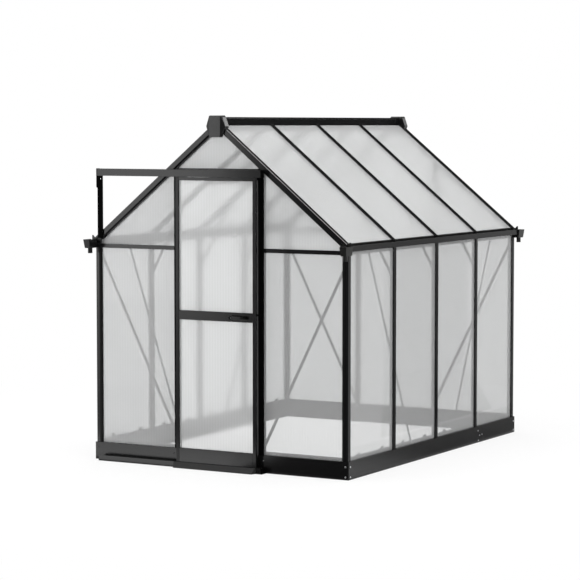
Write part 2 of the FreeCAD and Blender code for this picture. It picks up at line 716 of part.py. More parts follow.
def door_latch():
    """Thumb turn in front, spindle through the rail, hook behind; drawn lifted clear of its keeper."""
    thumb = box(LATCH_X - 5, LATCH_X + 32, DOOR_Y0 - 8, DOOR_Y0 - 2.5, LATCH_Z - 4, LATCH_Z + 15)
    thumb = thumb.makeChamfer(1.5, [e for e in thumb.Edges if runs_along(e, "y")])
    spindle = Part.makeCylinder(4, DOOR_T + 9, V(LATCH_X, DOOR_Y0 - 3, LATCH_Z), V(0, 1, 0))
    y0 = DOOR_Y1 + 2
    tip = 118
    inside = tip - 15.5
    outline = [(-9, -4), (-6, -7), (inside, -6), (inside, -16), (tip - 8, -16), (tip, -4), (tip - 4, 5),
               (-6, 7), (-9, 4)]
    hook = along_y([(LATCH_X + a, LATCH_Z + b) for a, b in outline], y0, y0 + 3)
    hook.rotate(V(LATCH_X, 0, LATCH_Z), V(0, 1, 0), -math.degrees(LATCH_OPEN))
    return thumb.fuse([spindle, hook]).removeSplitter()


def door_panes():
    """The two sheets of the door."""
    x0 = DOOR_X0 + STILE_W - 6
    x1 = DOOR_X1 - STILE_W + 6
    y1 = PANE_Y0 + GLASS_T
    lower = box(x0, x1, PANE_Y0, y1, FOOT_Z1 - 6, MID_Z0 + 6)
    upper = box(x0, x1, PANE_Y0, y1, MID_Z1 - 6, HEAD_Z0 + 6)
    return lower, upper


ROLLER_X = (DOOR_X0 + ROLLER_INSET, DOOR_X1 - ROLLER_INSET)
ROLLER_Z = TRACK_Z0 + TRACK_WALL + ROLLER_R + 0.3


def door_hanger(x):
    """Hanger: a foot on the door's head rail and a plate that rises through the track's slot."""
    y = forward(DOOR_MID)
    foot = box(x - 26, x + 26, y - 5, y + 5, DOOR_Z1, DOOR_Z1 + 2.5)
    plate = box(x - 16, x + 16, y - 1.5, y + 1.5, DOOR_Z1, ROLLER_Z + 10)
    corner = [e for e in plate.Edges if runs_along(e, "y") and e.CenterOfMass.z > ROLLER_Z]
    plate = plate.makeChamfer(8, corner)
    bore = Part.makeCylinder(4.4, 10, V(x, y - 5, ROLLER_Z), V(0, 1, 0))
    return foot.fuse(plate).cut(bore).removeSplitter()


def door_roller(x):
    """Axle with a plain wheel at each end, turned as one profile about the axle."""
    half = [(4, 6.4), (ROLLER_R, 6.4), (ROLLER_R, 12.6), (0, 12.6)]
    y = forward(DOOR_MID)
    outline = [V(x, y + a, ROLLER_Z + r) for r, a in half]
    outline += [V(x, y - a, ROLLER_Z + r) for r, a in reversed(half)]
    face = Part.Face(Part.makePolygon(outline + outline[:1]))
    return face.revolve(V(x, y, ROLLER_Z), V(0, 1, 0), 360)


def guide_shoe(x):
    """Nylon shoe under the door that runs in the floor channel."""
    y = forward(DOOR_MID)
    outline = [(x - 20, DOOR_Z0), (x + 20, DOOR_Z0), (x + 20, 18), (x + 12, 10), (x - 12, 10), (x - 20, 18)]
    return along_y(outline, y - 6, y + 6)


VENT_Y0 = BAR_Y[VENT_BAY] + POST_W / 2 + 3
VENT_Y1 = BAR_Y[VENT_BAY + 1] - POST_W / 2 - 3


STAY_S = VENT_S1 - 16
STAY_N = -22.0
STAY_Y = (VENT_Y0 + VENT_Y1) / 2
STAY_LENGTH = 330.0


def vent_sill():
    """Cross bar on the left slope under the foot of the vent, with a lug and peg for the stay."""
    y0 = BAR_Y[VENT_BAY] + POST_W / 2
    y1 = BAR_Y[VENT_BAY + 1] - POST_W / 2
    bar = slope_box(y0, y1, -BAR_DEPTH, -GLASS_N - SLOT, VENT_S1, VENT_S1 + 44)
    lug = slope_box(STAY_Y - 9, STAY_Y - 6, -BAR_DEPTH - 14, -BAR_DEPTH, VENT_S1 - 10, VENT_S1 + 20)
    peg = Part.makeCylinder(3, 16, slope_point(VENT_S1 - 4, -BAR_DEPTH - 8, STAY_Y - 9), V(0, 1, 0))
    return mirror_x(bar.fuse([lug, peg]).removeSplitter())


def vent_frame():
    """Frame of the roof vent, slotted all round for its sheet, with a lip that laps the roof bars."""
    n0 = -12.5
    n1 = 3.0
    lip = 12
    outside = slope_box(VENT_Y0, VENT_Y1, n0, n1, VENT_S0, VENT_S1 + 20)
    flange = slope_box(VENT_Y0 - lip, VENT_Y1 + lip, 0.8, n1, VENT_S0, VENT_S1 + 20)
    outside = outside.fuse(flange).removeSplitter()
    w = 26
    opening = slope_box(VENT_Y0 + w, VENT_Y1 - w, n0 - 1, n1 + 1, VENT_S0 + w, VENT_S1 + 20 - w)
    slot = slope_box(VENT_Y0 + w - 8, VENT_Y1 - w + 8, -7.5, -2.5, VENT_S0 + w - 8, VENT_S1 + 28 - w)
    return mirror_x(outside.cut(opening).cut(slot))


def vent_pane():
    """Sheet of the roof vent."""
    w = 20
    return mirror_x(slope_box(VENT_Y0 + w, VENT_Y1 - w, -7, -3, VENT_S0 + w, VENT_S1 + 20 - w))


HINGE_Y = (VENT_Y0 + 90, VENT_Y1 - 90)


def vent_hinges():
    """Fixed leaves on the ridge beam with their pins."""
    axis = slope_point(VENT_AXIS_S, VENT_AXIS_N, 0)
    leaves = []
    for y in HINGE_Y:
        barrel = Part.makeCylinder(4.5, 24, V(axis.x, y - 12, axis.z), V(0, 1, 0))
        leaf = box(RIDGE_HALF, axis.x, y - 12, y + 12, axis.z - 2, axis.z + 2)
        pad = box(RIDGE_HALF, RIDGE_HALF + 2, y - 25, y + 25, axis.z - 2, axis.z + 22)
        pin = Part.makeCylinder(2, 62, V(axis.x, y - 31, axis.z), V(0, 1, 0))
        leaves.append(mirror_x(barrel.fuse([leaf, pad, pin]).removeSplitter()))
    return leaves


def vent_hinge_leaves():
    """Moving knuckles on the head of the vent, on both sides of each fixed leaf."""
    axis = slope_point(VENT_AXIS_S, VENT_AXIS_N, 0)
    leaves = []
    for y in HINGE_Y:
        for y0 in (y - 30, y + 13):
            barrel = Part.makeCylinder(4.5, 17, V(axis.x, y0, axis.z), V(0, 1, 0))
            strap = slope_box(y0, y0 + 17, 3, 5.5, VENT_AXIS_S, VENT_S0 + 24)
            bore = Part.makeCylinder(2.35, 30, V(axis.x, y0 - 5, axis.z), V(0, 1, 0))
            leaves.append(mirror_x(barrel.fuse(strap).cut(bore).removeSplitter()))
    return leaves


def vent_stay():
    """Peg stay folded up the slope under the vent's sheet: a flat strip with a row of peg holes."""
    pivot = slope_point(STAY_S, STAY_N, STAY_Y + 1.5)
    far = slope_point(STAY_S - STAY_LENGTH, STAY_N, STAY_Y + 1.5)
    strip = strut(pivot, far, 14, 3, V(0, 1, 0))
    for k in range(3):
        place = slope_point(STAY_S - 150 - 70 * k, STAY_N, STAY_Y - 2)
        strip = strip.cut(Part.makeCylinder(3.6, 8, place, V(0, 1, 0)))
    bore = Part.makeCylinder(3.4, 8, slope_point(STAY_S, STAY_N, STAY_Y - 2), V(0, 1, 0))
    return mirror_x(strip.cut(bore))


def vent_stay_bracket():
    """Cheek under the vent's foot rail with the pivot pin of the stay."""
    cheek = slope_box(STAY_Y - 3.5, STAY_Y - 0.5, -30, -7.5, STAY_S - 7, VENT_S1 - 6)
    pin = Part.makeCylinder(3, 10, slope_point(STAY_S, STAY_N, STAY_Y - 3.5), V(0, 1, 0))
    return mirror_x(cheek.fuse(pin).removeSplitter())


def main():
    os.makedirs("parts", exist_ok=True)
    front_inner = DOOR_POST_X - POST_W / 2
    export("base_front", base_end(-HALF_W, -front_inner, -1), base_end(front_inner, HALF_W, -1))
    export("base_back", base_end(-HALF_W, HALF_W, 1))
    export("base_left", *base_side(-1))
    export("base_right", *base_side(1))
    export("base_joint_plates", *both_sides(base_joint_plate()))
    export("base_corner_angles", *all_corners(base_corner_angle()))
    export("door_sill", door_sill())
    export("wall_rails", *wall_rails())
    export("panel_clips", *panel_clips())

    export("corner_posts_front", *both_sides(corner_post()))
    export("corner_posts_back", *both_sides(mirror_y(corner_post())))
    right_posts = [side_post(y) for y in BAR_Y[1:-1]]
    export("side_posts_right", *right_posts)
    export("side_posts_left", *[mirror_x(post) for post in right_posts])
    export("door_posts", *both_sides(door_post()))
    export("back_posts", *[gable_post(x) for x in (-DOOR_POST_X, DOOR_POST_X)])

    export("gutter_right", gutter())
    export("gutter_left", mirror_x(gutter()))
    export("gutter_spouts", *all_corners(gutter_spout()))
    export("ridge_beam", ridge_beam())
    export("ridge_caps", ridge_cap(), mirror_y(ridge_cap()))
    rafter = gable_rafter()
    export("rafters_front", *both_sides(rafter))
    export("rafters_back", *both_sides(mirror_y(rafter)))
    right_bars = [roof_bar(y) for y in BAR_Y[1:-1]]
    export("roof_bars_right", *right_bars)
    export("roof_bars_left", *[mirror_x(bar) for bar in right_bars])
    export("gable_bars", *gable_bars())
    export("door_header", door_header())

    sheets = side_panels()
    export("side_panels_right", *sheets)
    export("side_panels_left", *[mirror_x(sheet) for sheet in sheets])
    export("front_panels", *gable_panels(False))
    export("back_panels", *gable_panels(True))
    export("roof_panels_right", *roof_panels(False))
    export("roof_panels_left", *roof_panels(True))
    export("gable_braces", *gable_braces())
    export("side_braces", *side_braces())
    export("knee_braces", *knee_braces())

    export("door_track", door_track())
    export("track_end_caps", *track_end_caps())
    export("track_upright", track_upright())
    export("track_brackets", *track_brackets())
    export("bottom_guide", bottom_guide())
    export("threshold_ramp", threshold_ramp())
    export("latch_keeper", latch_keeper())

    export("door_stile_left", left_door_stile())
    export("door_stile_right", right_door_stile())
    export("door_top_rail", door_rail(HEAD_Z0, DOOR_Z1, (HEAD_Z0,)))
    export("door_mid_rail", door_mid_rail())
    export("door_bottom_rail", door_rail(DOOR_Z0, FOOT_Z1, (FOOT_Z1 - 8,)))
    export("door_panes", *door_panes())
    export("door_hangers", *[door_hanger(x) for x in ROLLER_X])
    export("door_roller_left", door_roller(ROLLER_X[0]))
    export("door_roller_right", door_roller(ROLLER_X[1]))
    export("door_guide_shoes", *[guide_shoe(x) for x in (DOOR_X0 + 60, DOOR_X1 - 60)])
    export("door_handle", door_handle())
    export("door_latch", door_latch())

    export("vent_sill", vent_sill())
    export("vent_hinges", *vent_hinges())
    export("vent_frame", vent_frame(), *vent_hinge_leaves(), vent_stay_bracket())
    export("vent_pane", vent_pane())
    export("vent_stay", vent_stay())


main()
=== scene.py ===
import math

import bmesh
import bpy
from mathutils import Matrix, Vector


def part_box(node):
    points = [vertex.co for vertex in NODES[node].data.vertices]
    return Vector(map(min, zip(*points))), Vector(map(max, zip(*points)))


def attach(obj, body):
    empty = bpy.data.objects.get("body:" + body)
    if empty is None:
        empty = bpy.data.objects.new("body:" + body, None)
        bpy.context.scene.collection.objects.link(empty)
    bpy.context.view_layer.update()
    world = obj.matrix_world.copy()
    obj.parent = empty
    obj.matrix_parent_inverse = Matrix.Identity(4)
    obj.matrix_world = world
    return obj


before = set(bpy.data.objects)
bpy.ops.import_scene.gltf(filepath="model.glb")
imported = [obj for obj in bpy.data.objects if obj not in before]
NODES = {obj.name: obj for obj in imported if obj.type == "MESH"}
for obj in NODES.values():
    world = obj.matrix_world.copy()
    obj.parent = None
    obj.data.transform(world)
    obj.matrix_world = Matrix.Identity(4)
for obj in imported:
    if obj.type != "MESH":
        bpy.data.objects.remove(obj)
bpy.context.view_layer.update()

# Lengths are in metres, angles in radians and tones are linear, unless a name says otherwise.

# camera of the photo
CAMERA_AT = Vector((7.448, -13.571, 2.215))
CAMERA_YAW = math.radians(29.369)
CAMERA_PITCH = math.radians(4.211)
LENS_MM = 139.62
SENSOR_MM = 36.0
VIEW_END = 200.0

# faces of the base, pitch of the roof, heights of its apex line and of the eaves
BASE_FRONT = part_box("base_front")[0][1]
BASE_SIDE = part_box("base_right")[1][0]
PITCH = math.radians(39.2)
APEX = 2.239
EAVES = 1.418

# clouds of bars and mouldings in tone and in roughness, as scale per metre and detail; their grain
TONE_CLOUD = (5.0, 4.0)
ROUGH_CLOUD = (23.0, 3.0)
GRAIN_DETAIL = 2.0
GRAIN_HEIGHT = 0.0004
# their edges: points welded within a distance, width of the round, angle from which an edge has one
WELD = 0.00002
BEVEL = 0.0009
BEVEL_FROM = math.radians(40)

# twin-wall sheet: pitch of the ribs and of the broad bands over them, share of the bands
RIB_PITCH = 0.0067
BAND_PITCH = 0.0202
BAND_SHARE = 0.6
# tone of the ribs against the rest, and of green and blue against red
RIB_SHADE = 0.93
SHEET_COOL = 1.006
# strength and height of the ribs in the surface
RIB_RELIEF = (0.004, 0.0006)
# heights between which the darker tone of a wall's foot, painted shade, passes into the tone above
FOOT_SHADE_FADE = (0.14, 0.36)
# share of light that passes, start of the wall to the right of the door, and how far the tone rises
# there, as painted light, for each share that passes more
CLEAR = 0.72
RIGHT_BAY = 0.3
PAINTED_LIGHT_LIFT = 0.4
SHEET_IOR = 1.2
# clouds of the haze as scale per metre and detail, and their range
HAZE_CLOUD = (9.0, 2.0)
HAZE_RANGE = (0.9, 1.1)

# pan head in shares of its radius: rings as radius and height, then the mouth and size of its cross
HEAD_SIDES = 16
HEAD_RINGS = ((1.0, 0.0), (1.0, 0.22), (0.92, 0.42), (0.72, 0.58))
CROSS_TOP = 0.62
CROSS_DEPTH = 0.34
CROSS_ARM = 0.48
CROSS_HALF = 0.12
CROSS_TAPER = 0.8
# turn of the cross from one screw to the next
HEAD_TURN = 0.7
# radius of the screw heads
CORNER_SCREW = 0.0055
SPLICE_SCREW = 0.0045
TRACK_SCREW = 0.0032
HANDLE_SCREW = 0.004
# places of the screws: heights at the corners and distances from the middle of the house, the screw
# at the doorway, those of the long sides' joint along and up, the track's across and up
CORNER_Z = (0.082, 0.018)
CORNER_X = 0.928
CORNER_Y = 1.257
DOORWAY_SCREW = (0.337, 0.080)
SPLICE_SCREWS = ((0.650, 0.083), (0.676, 0.049), (0.716, 0.051), (0.656, 0.015))
TRACK_SCREW_AT = (-0.880, 1.859)
# seat of the finger pull's screw, in from its left end and from its back
TRAY_INSET = (0.010, 0.002)

# black lip over the finger pull, a painted shadow along its top edge and beside the latch: across
# and up, with its start in the rail and the way it runs
PULL_SHADOW_LIP = ((0.134, 1.0025), (0.137, 1.0040), (0.2075, 1.0040), (0.2085, 1.0030), (0.2085, 0.9795),
            (0.1990, 0.9795), (0.1990, 0.9976), (0.137, 0.9976))
PULL_SHADOW_LIP_START = (0, 0.0005, 0)
PULL_SHADOW_LIP_RUN = (0, -0.0021, 0)
# black seal beside a corner post, painting the shade in the recess there: distance from the middle
# of the house, depth behind the post's face
POST_SHADE_SEAL = ((0.917, 0.0), (0.917, -0.002), (0.904, -0.002), (0.896, 0.0075), (0.896, 0.0084),
             (0.9058, 0.0084), (0.9058, 0.0))
# its gaps to the foot of the post and to the bar above
POST_SHADE_SEAL_GAPS = (0.002, 0.001)
# grey seal on a stop flange of the doorway, a painted highlight by the door's edge: distance from
# the middle, height over the flange; foot and head
STOP_HIGHLIGHT_SEAL = ((0.2880, -0.0004), (0.2880, 0.0010), (0.2895, 0.0024), (0.2930, 0.0024),
             (0.2945, 0.0010), (0.2945, -0.0004))
STOP_HIGHLIGHT_SEAL_Z = (0.118, 1.862)
# plate below a stop flange: distance from the middle, depth behind the flange; foot, gap at its head
STOP_FOOT = ((0.2825, 0.0), (0.2975, 0.0), (0.2975, 0.026), (0.2955, 0.026), (0.2955, 0.003),
             (0.2825, 0.003))
STOP_FOOT_Z = 0.0125
STOP_FOOT_GAP = 0.0005
# black end closure of the roof sheets, painting the shade inside the gutter: distance from the middle
# of the house and height
DRIP_EDGE_SHADE = ((0.9225, 1.4757), (0.9225, 1.4765), (0.9302, 1.4703), (0.9302, 1.4608),
             (0.9286, 1.4608), (0.9286, 1.4702))
# roof bays along the house: pitch of the bars, room that a bar takes on each side, end of the last bay
BAR_PITCH = 0.6275
BAR_ROOM = 0.019
ROOF_END = 1.246
# pale trim of the rafters, a painted highlight along their edge: inset behind the gable's face,
# height over the rafter; ends down the slope
RAFTER_HIGHLIGHT_TRIM = ((0.0030, -0.0005), (0.0060, -0.0005), (0.0055, 0.0012), (0.0035, 0.0012))
HIGHLIGHT_TRIM_RUN = (0.095, 1.212)

# floor: half its width, height, clouds and tones; white share near and far, and where it rises
FLOOR_HALF = 40.0
FLOOR_Z = -0.0005
FLOOR_CLOUD = (0.6, 2.0)
FLOOR_TONES = ((0.90, 0.90, 0.90), (0.92, 0.92, 0.92))
FLOOR_WHITE = (0.82, 1.0)
FLOOR_RISE = (2.0, 4.5)
# roughness of the floor and of the grey card
MATT = 0.9

# strength of the white surroundings as light
WORLD_LIGHT = 0.66
# softboxes: place, point they face, width, height and watts
DOOR_SIDE = (-0.6, -1.2, 1.0)
SOFTBOXES = {
    "left_front": ((-4.0, -5.6, 2.2), DOOR_SIDE, 3.4, 3.2, 100.0),
    "right_front": ((7.0, -4.0, 3.0), (0.9, 0.0, 1.0), 3.0, 3.0, 100.0),
    "overhead": ((0.0, 0.0, 6.5), (0.0, 0.0, 0.0), 6.0, 6.0, 330.0),
}
# the same for panels that only mirrors see
SHEEN_PANELS = {
    "sheen_left": ((-3.0, -4.5, 1.6), DOOR_SIDE, 3.4, 3.2, 44.0),
    "sheen_cap": ((3.6, 6.4, 5.2), (0.0, -1.3, 2.2), 2.4, 2.4, 110.0),
    "sheen_floor": ((-1.25, -1.70, 0.01), (-1.25, -1.60, 3.0), 2.7, 0.7, 20.0),
}
# cards that only mirrors see: height of those on the floor, and the grey one's glow
CARD_FLOOR = 0.002
CARD_GLOW = 0.3


def new_material(name):
    """A node material and its Principled shader."""
    material = bpy.data.materials.new(name)
    material.use_nodes = True
    return material, material.node_tree, material.node_tree.nodes["Principled BSDF"]


def object_point(tree):
    """The point in the part's own frame."""
    return tree.nodes.new("ShaderNodeTexCoord").outputs["Object"]


def coordinate(tree, point, axis):
    """One coordinate of a point."""
    parts = tree.nodes.new("ShaderNodeSeparateXYZ")
    tree.links.new(point, parts.inputs["Vector"])
    return parts.outputs[axis]


def noise(tree, point, scale, detail):
    """Noise between 0 and 1 at a scale per metre."""
    made = tree.nodes.new("ShaderNodeTexNoise")
    made.inputs["Scale"].default_value = scale
    made.inputs["Detail"].default_value = detail
    tree.links.new(point, made.inputs["Vector"])
    return made.outputs["Fac"]


def ramp(tree, value, low, high, start=0.0, end=1.0, smooth=False):
    """Maps a value between start and end onto a range of numbers."""
    made = tree.nodes.new("ShaderNodeMapRange")
    if smooth:
        made.interpolation_type = "SMOOTHSTEP"
    made.inputs["From Min"].default_value = start
    made.inputs["From Max"].default_value = end
    made.inputs["To Min"].default_value = low
    made.inputs["To Max"].default_value = high
    tree.links.new(value, made.inputs["Value"])
    return made.outputs["Result"]


def calculate(tree, operation, first, second=None):
    """The result of an operation on one value, or on two of which the second may be a plain number."""
    made = tree.nodes.new("ShaderNodeMath")
    made.operation = operation
    tree.links.new(first, made.inputs[0])
    if isinstance(second, bpy.types.NodeSocket):
        tree.links.new(second, made.inputs[1])
    elif second is not None:
        made.inputs[1].default_value = second
    return made.outputs["Value"]


def blend(tree, value, first, second):
    """Mixes two colours by a value."""
    made = tree.nodes.new("ShaderNodeMix")
    made.data_type = "RGBA"
    made.inputs["A"].default_value = (*first, 1)
    made.inputs["B"].default_value = (*second, 1)
    tree.links.new(value, made.inputs["Factor"])
    return made.outputs["Result"]


def mixed(tree, first, second, share):
    """Weighted mean of two numbers."""
    made = tree.nodes.new("ShaderNodeMix")
    made.inputs["Factor"].default_value = share
    tree.links.new(first, made.inputs["A"])
    tree.links.new(second, made.inputs["B"])
    return made.outputs["Result"]


def bump(tree, height, strength, distance, shader):
    """Feeds a height into the shader's normal."""
    made = tree.nodes.new("ShaderNodeBump")
    made.inputs["Strength"].default_value = strength
    made.inputs["Distance"].default_value = distance
    tree.links.new(height, made.inputs["Height"])
    tree.links.new(made.outputs["Normal"], shader.inputs["Normal"])


def solid_look(name, dark, light, rough, specular, grain, depth, metal=0.0):
    """Painted, moulded or plated surface with cloudy tone and a fine grain."""
    material, tree, shader = new_material(name)
    point = object_point(tree)
    cloud = noise(tree, point, *TONE_CLOUD)
    tree.links.new(blend(tree, cloud, dark, light), shader.inputs["Base Color"])
    spread = noise(tree, point, *ROUGH_CLOUD)
    tree.links.new(ramp(tree, spread, *rough), shader.inputs["Roughness"])
    shader.inputs["Specular IOR Level"].default_value = specular
    shader.inputs["Metallic"].default_value = metal
    bump(tree, noise(tree, point, grain, GRAIN_DETAIL), depth, GRAIN_HEIGHT, shader)
    return material


def stripes(tree, point, axis, pitch):
    """A rounded wave along one axis, between 0 and 1."""
    turn = calculate(tree, "MULTIPLY", coordinate(tree, point, axis), 2 * math.pi / pitch)
    return ramp(tree, calculate(tree, "SINE", turn), 0.0, 1.0, start=-1.0)


def above(tree, point, axis, level, low, high):
    """One number below a level on an axis and another above it."""
    over = calculate(tree, "GREATER_THAN", coordinate(tree, point, axis), level)
    return ramp(tree, over, low, high)


def sheet_look(name, axis, tone, rough, rough_top, foot=1.0, shade=RIB_SHADE, clearer=0.0):
    """Milky twin-wall sheet whose ribs repeat along one axis.

    It has a tone, a haze below and above the eaves, a share of the tone at its foot, which paints
    shade there, and a shade of the ribs. What it passes in the wall to the right of the door is more
    by the last value, and its tone there rises with it as painted light."""
    material, tree, shader = new_material(name)
    point = object_point(tree)
    ribs = stripes(tree, point, axis, RIB_PITCH)
    bands = stripes(tree, point, axis, BAND_PITCH)
    light = (tone, tone * SHEET_COOL, tone * SHEET_COOL)
    dark = tuple(shade * part for part in light)
    pattern = blend(tree, mixed(tree, ribs, bands, BAND_SHARE), light, dark)
    right = calculate(tree, "MULTIPLY", above(tree, point, "X", RIGHT_BAY, 0.0, 1.0),
                      above(tree, point, "Z", EAVES, 1.0, 0.0))
    foot_shade = ramp(tree, coordinate(tree, point, "Z"), foot, 1.0, *FOOT_SHADE_FADE, smooth=True)
    painted_lift = ramp(tree, right, 1.0, 1.0 + PAINTED_LIGHT_LIFT * clearer)
    tint = tree.nodes.new("ShaderNodeVectorMath")
    tint.operation = "SCALE"
    tree.links.new(pattern, tint.inputs[0])
    tree.links.new(calculate(tree, "MULTIPLY", foot_shade, painted_lift), tint.inputs["Scale"])
    tree.links.new(tint.outputs["Vector"], shader.inputs["Base Color"])
    clouds = ramp(tree, noise(tree, point, *HAZE_CLOUD), *HAZE_RANGE)
    haze = calculate(tree, "MULTIPLY", above(tree, point, "Z", EAVES, rough, rough_top), clouds)
    tree.links.new(haze, shader.inputs["Roughness"])
    passing = ramp(tree, right, CLEAR, CLEAR + clearer)
    tree.links.new(passing, shader.inputs["Transmission Weight"])
    shader.inputs["IOR"].default_value = SHEET_IOR
    bump(tree, ribs, *RIB_RELIEF, shader)
    return material


def neutral(tone):
    """A colour without hue."""
    return (tone, tone, tone)


COAT = {"dark": (0.004, 0.004, 0.0042), "light": (0.006, 0.006, 0.0062), "rough": (0.18, 0.24),
        "grain": 1400.0, "depth": 0.04}
PAINT = solid_look("powder_coat", specular=0.20, **COAT)
# the same powder coat with less sheen: painted shade on the left door stile, gutters, side posts and
# back corner posts
SHADED_PAINT = solid_look("powder_coat_shaded", specular=0.11, **COAT)
# a lighter copy of the powder coat for the threshold ramp: painted light
LIT_PAINT = solid_look("powder_coat_lit", neutral(0.022), neutral(0.029), rough=(0.26, 0.34),
                        specular=0.14, grain=1400.0, depth=0.04)
PLASTIC = solid_look("moulded_black", neutral(0.004), neutral(0.006), rough=(0.26, 0.34),
                     specular=0.29, grain=1900.0, depth=0.08)
# a copy of the moulded black, lighter with less sheen, for the gutter spouts: painted light and shade
SPOUT_LIT_PLASTIC = solid_look("moulded_black_lit", neutral(0.006), neutral(0.009), rough=(0.26, 0.34),
                   specular=0.22, grain=1900.0, depth=0.08)
# matte black: the own finish of the latch and other small black pieces, and painted shade where it
# replaces the frame's paint or plating on the track upright, its brackets, the keeper and the doorway
# posts
MATTE_AND_SHADE = solid_look("matte_black_and_shade", neutral(0.002), neutral(0.0035), rough=(0.55, 0.65),
                   specular=0.0, grain=1400.0, depth=0.08)
STEEL = solid_look("dark_plated_steel", (0.02, 0.02, 0.021), (0.035, 0.035, 0.036),
                   rough=(0.34, 0.46), specular=0.3, grain=900.0, depth=0.06, metal=0.6)
NYLON = solid_look("white_nylon", (0.60, 0.60, 0.57), (0.70, 0.70, 0.67), rough=(0.38, 0.46),
                   specular=0.5, grain=700.0, depth=0.05)
# black rubber of the post seals and drip edges; it also paints shade beside the posts and in the
# gutter
SEAL_AND_SHADE = solid_look("black_rubber_and_shade", neutral(0.004), neutral(0.007), rough=(0.60, 0.75),
                  specular=0.05, grain=800.0, depth=0.15)
# grey rubber of the stop seals, lighter than the frame: a painted highlight
GREY_HIGHLIGHT = solid_look("grey_rubber_highlight", neutral(0.075), neutral(0.095), rough=(0.55, 0.65),
                  specular=0.2, grain=800.0, depth=0.1)
# pale vinyl of the rafter trims: a painted highlight
PALE_HIGHLIGHT = solid_look("pale_vinyl_highlight", neutral(0.50), neutral(0.60), rough=(0.40, 0.50),
                  specular=0.3, grain=800.0, depth=0.05)
ZINC = solid_look("bright_zinc", (0.55, 0.56, 0.57), (0.68, 0.69, 0.70), rough=(0.22, 0.34),
                  specular=0.5, grain=1100.0, depth=0.05, metal=1.0)
# the same twin-wall sheet in a tone per wall, lightest on the door, then roof, gable and sides:
# painted light and shade
GABLE_SHEET = sheet_look("twin_wall_gable", "X", tone=0.865, rough=0.046, rough_top=0.17,
                         foot=0.985, clearer=0.06)
DOOR_SHEET = sheet_look("twin_wall_door", "X", tone=0.985, rough=0.15, rough_top=0.17,
                        foot=0.86, shade=0.91)
SIDE_SHEET = sheet_look("twin_wall_side", "Y", tone=0.83, rough=0.045, rough_top=0.045)
ROOF_SHEET = sheet_look("twin_wall_roof", "Y", tone=0.94, rough=0.24, rough_top=0.24)

# looks by the slot of a node, then the nodes with a sheet's look or one of their own
LOOKS = {"frame_paint": PAINT, "black_plastic": PLASTIC, "dark_steel": STEEL, "nylon": NYLON}
SHEETS = {
    "front_panels": GABLE_SHEET, "back_panels": GABLE_SHEET, "door_panes": DOOR_SHEET,
    "side_panels_right": SIDE_SHEET, "side_panels_left": SIDE_SHEET,
    "roof_panels_right": ROOF_SHEET, "roof_panels_left": ROOF_SHEET, "vent_pane": ROOF_SHEET,
}
# own looks, most of them painted shade or light: darker black or less sheen for shade, and the lighter
# ramp paint and spout plastic for light
FINISHES = {
    "track_upright": MATTE_AND_SHADE, "track_brackets": MATTE_AND_SHADE, "track_end_caps": MATTE_AND_SHADE,
    "door_latch": MATTE_AND_SHADE, "latch_keeper": MATTE_AND_SHADE, "door_posts": MATTE_AND_SHADE,
    "gutter_spouts": SPOUT_LIT_PLASTIC, "threshold_ramp": LIT_PAINT,
    "door_stile_left": SHADED_PAINT, "gutter_right": SHADED_PAINT, "gutter_left": SHADED_PAINT,
    "side_posts_right": SHADED_PAINT, "side_posts_left": SHADED_PAINT, "corner_posts_back": SHADED_PAINT,
}


def dress_nodes():
    """Gives each CAD node its material, and each one that is no sheet rounded edges."""
    for name, piece in NODES.items():
        if name in SHEETS:
            look = SHEETS[name]
        else:
            look = FINISHES.get(name) or LOOKS[piece.data.materials[0].name]
            weld = piece.modifiers.new("weld", "WELD")
            weld.merge_threshold = WELD
            edge = piece.modifiers.new("edge_round", "BEVEL")
            edge.width = BEVEL
            edge.segments = 2
            edge.limit_method = "ANGLE"
            edge.angle_limit = BEVEL_FROM
            edge.use_clamp_overlap = True
            edge.harden_normals = True
        piece.data.materials[0] = look


def mesh_piece(name, shape, look, body):
    """Turns a bmesh into a piece of a body."""
    data = bpy.data.meshes.new(name)
    shape.to_mesh(data)
    shape.free()
    data.materials.append(look)
    piece = bpy.data.objects.new(name, data)
    bpy.context.scene.collection.objects.link(piece)
    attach(piece, body)


def pan_head(radius):
    """Pan head with a cross recess, its seat on z = 0."""
    shape = bmesh.new()
    rings = []
    for share, height in HEAD_RINGS:
        ring = []
        for step in range(HEAD_SIDES):
            angle = 2 * math.pi * step / HEAD_SIDES
            ring.append(shape.verts.new((radius * share * math.cos(angle),
                                         radius * share * math.sin(angle), radius * height)))
        rings.append(ring)
    for lower, upper in zip(rings, rings[1:]):
        for step in range(HEAD_SIDES):
            ahead = (step + 1) % HEAD_SIDES
            shape.faces.new((lower[step], lower[ahead], upper[ahead], upper[step]))
    shape.faces.new(list(reversed(rings[0])))
    arm, half = CROSS_ARM * radius, CROSS_HALF * radius
    top, deep = CROSS_TOP * radius, CROSS_DEPTH * radius
    outline = []
    for turn in range(4):
        cosine = round(math.cos(turn * math.pi / 2))
        sine = round(math.sin(turn * math.pi / 2))
        for x, y in ((half, -half), (arm, -half), (arm, half)):
            outline.append((cosine * x - sine * y, sine * x + cosine * y))
    corners = len(outline)
    mouth = [shape.verts.new((x, y, top)) for x, y in outline]
    floor = [shape.verts.new((x * CROSS_TAPER, y * CROSS_TAPER, top - deep)) for x, y in outline]
    for step in range(corners):
        ahead = (step + 1) % corners
        shape.faces.new((mouth[ahead], mouth[step], floor[step], floor[ahead]))
    shape.faces.new(floor)
    rim = []
    for loop in (rings[-1], mouth):
        for first, second in zip(loop, loop[1:] + loop[:1]):
            rim.append(shape.edges.get((first, second)))
    bmesh.ops.triangle_fill(shape, edges=rim, use_beauty=True)
    bmesh.ops.recalc_face_normals(shape, faces=shape.faces)
    return shape


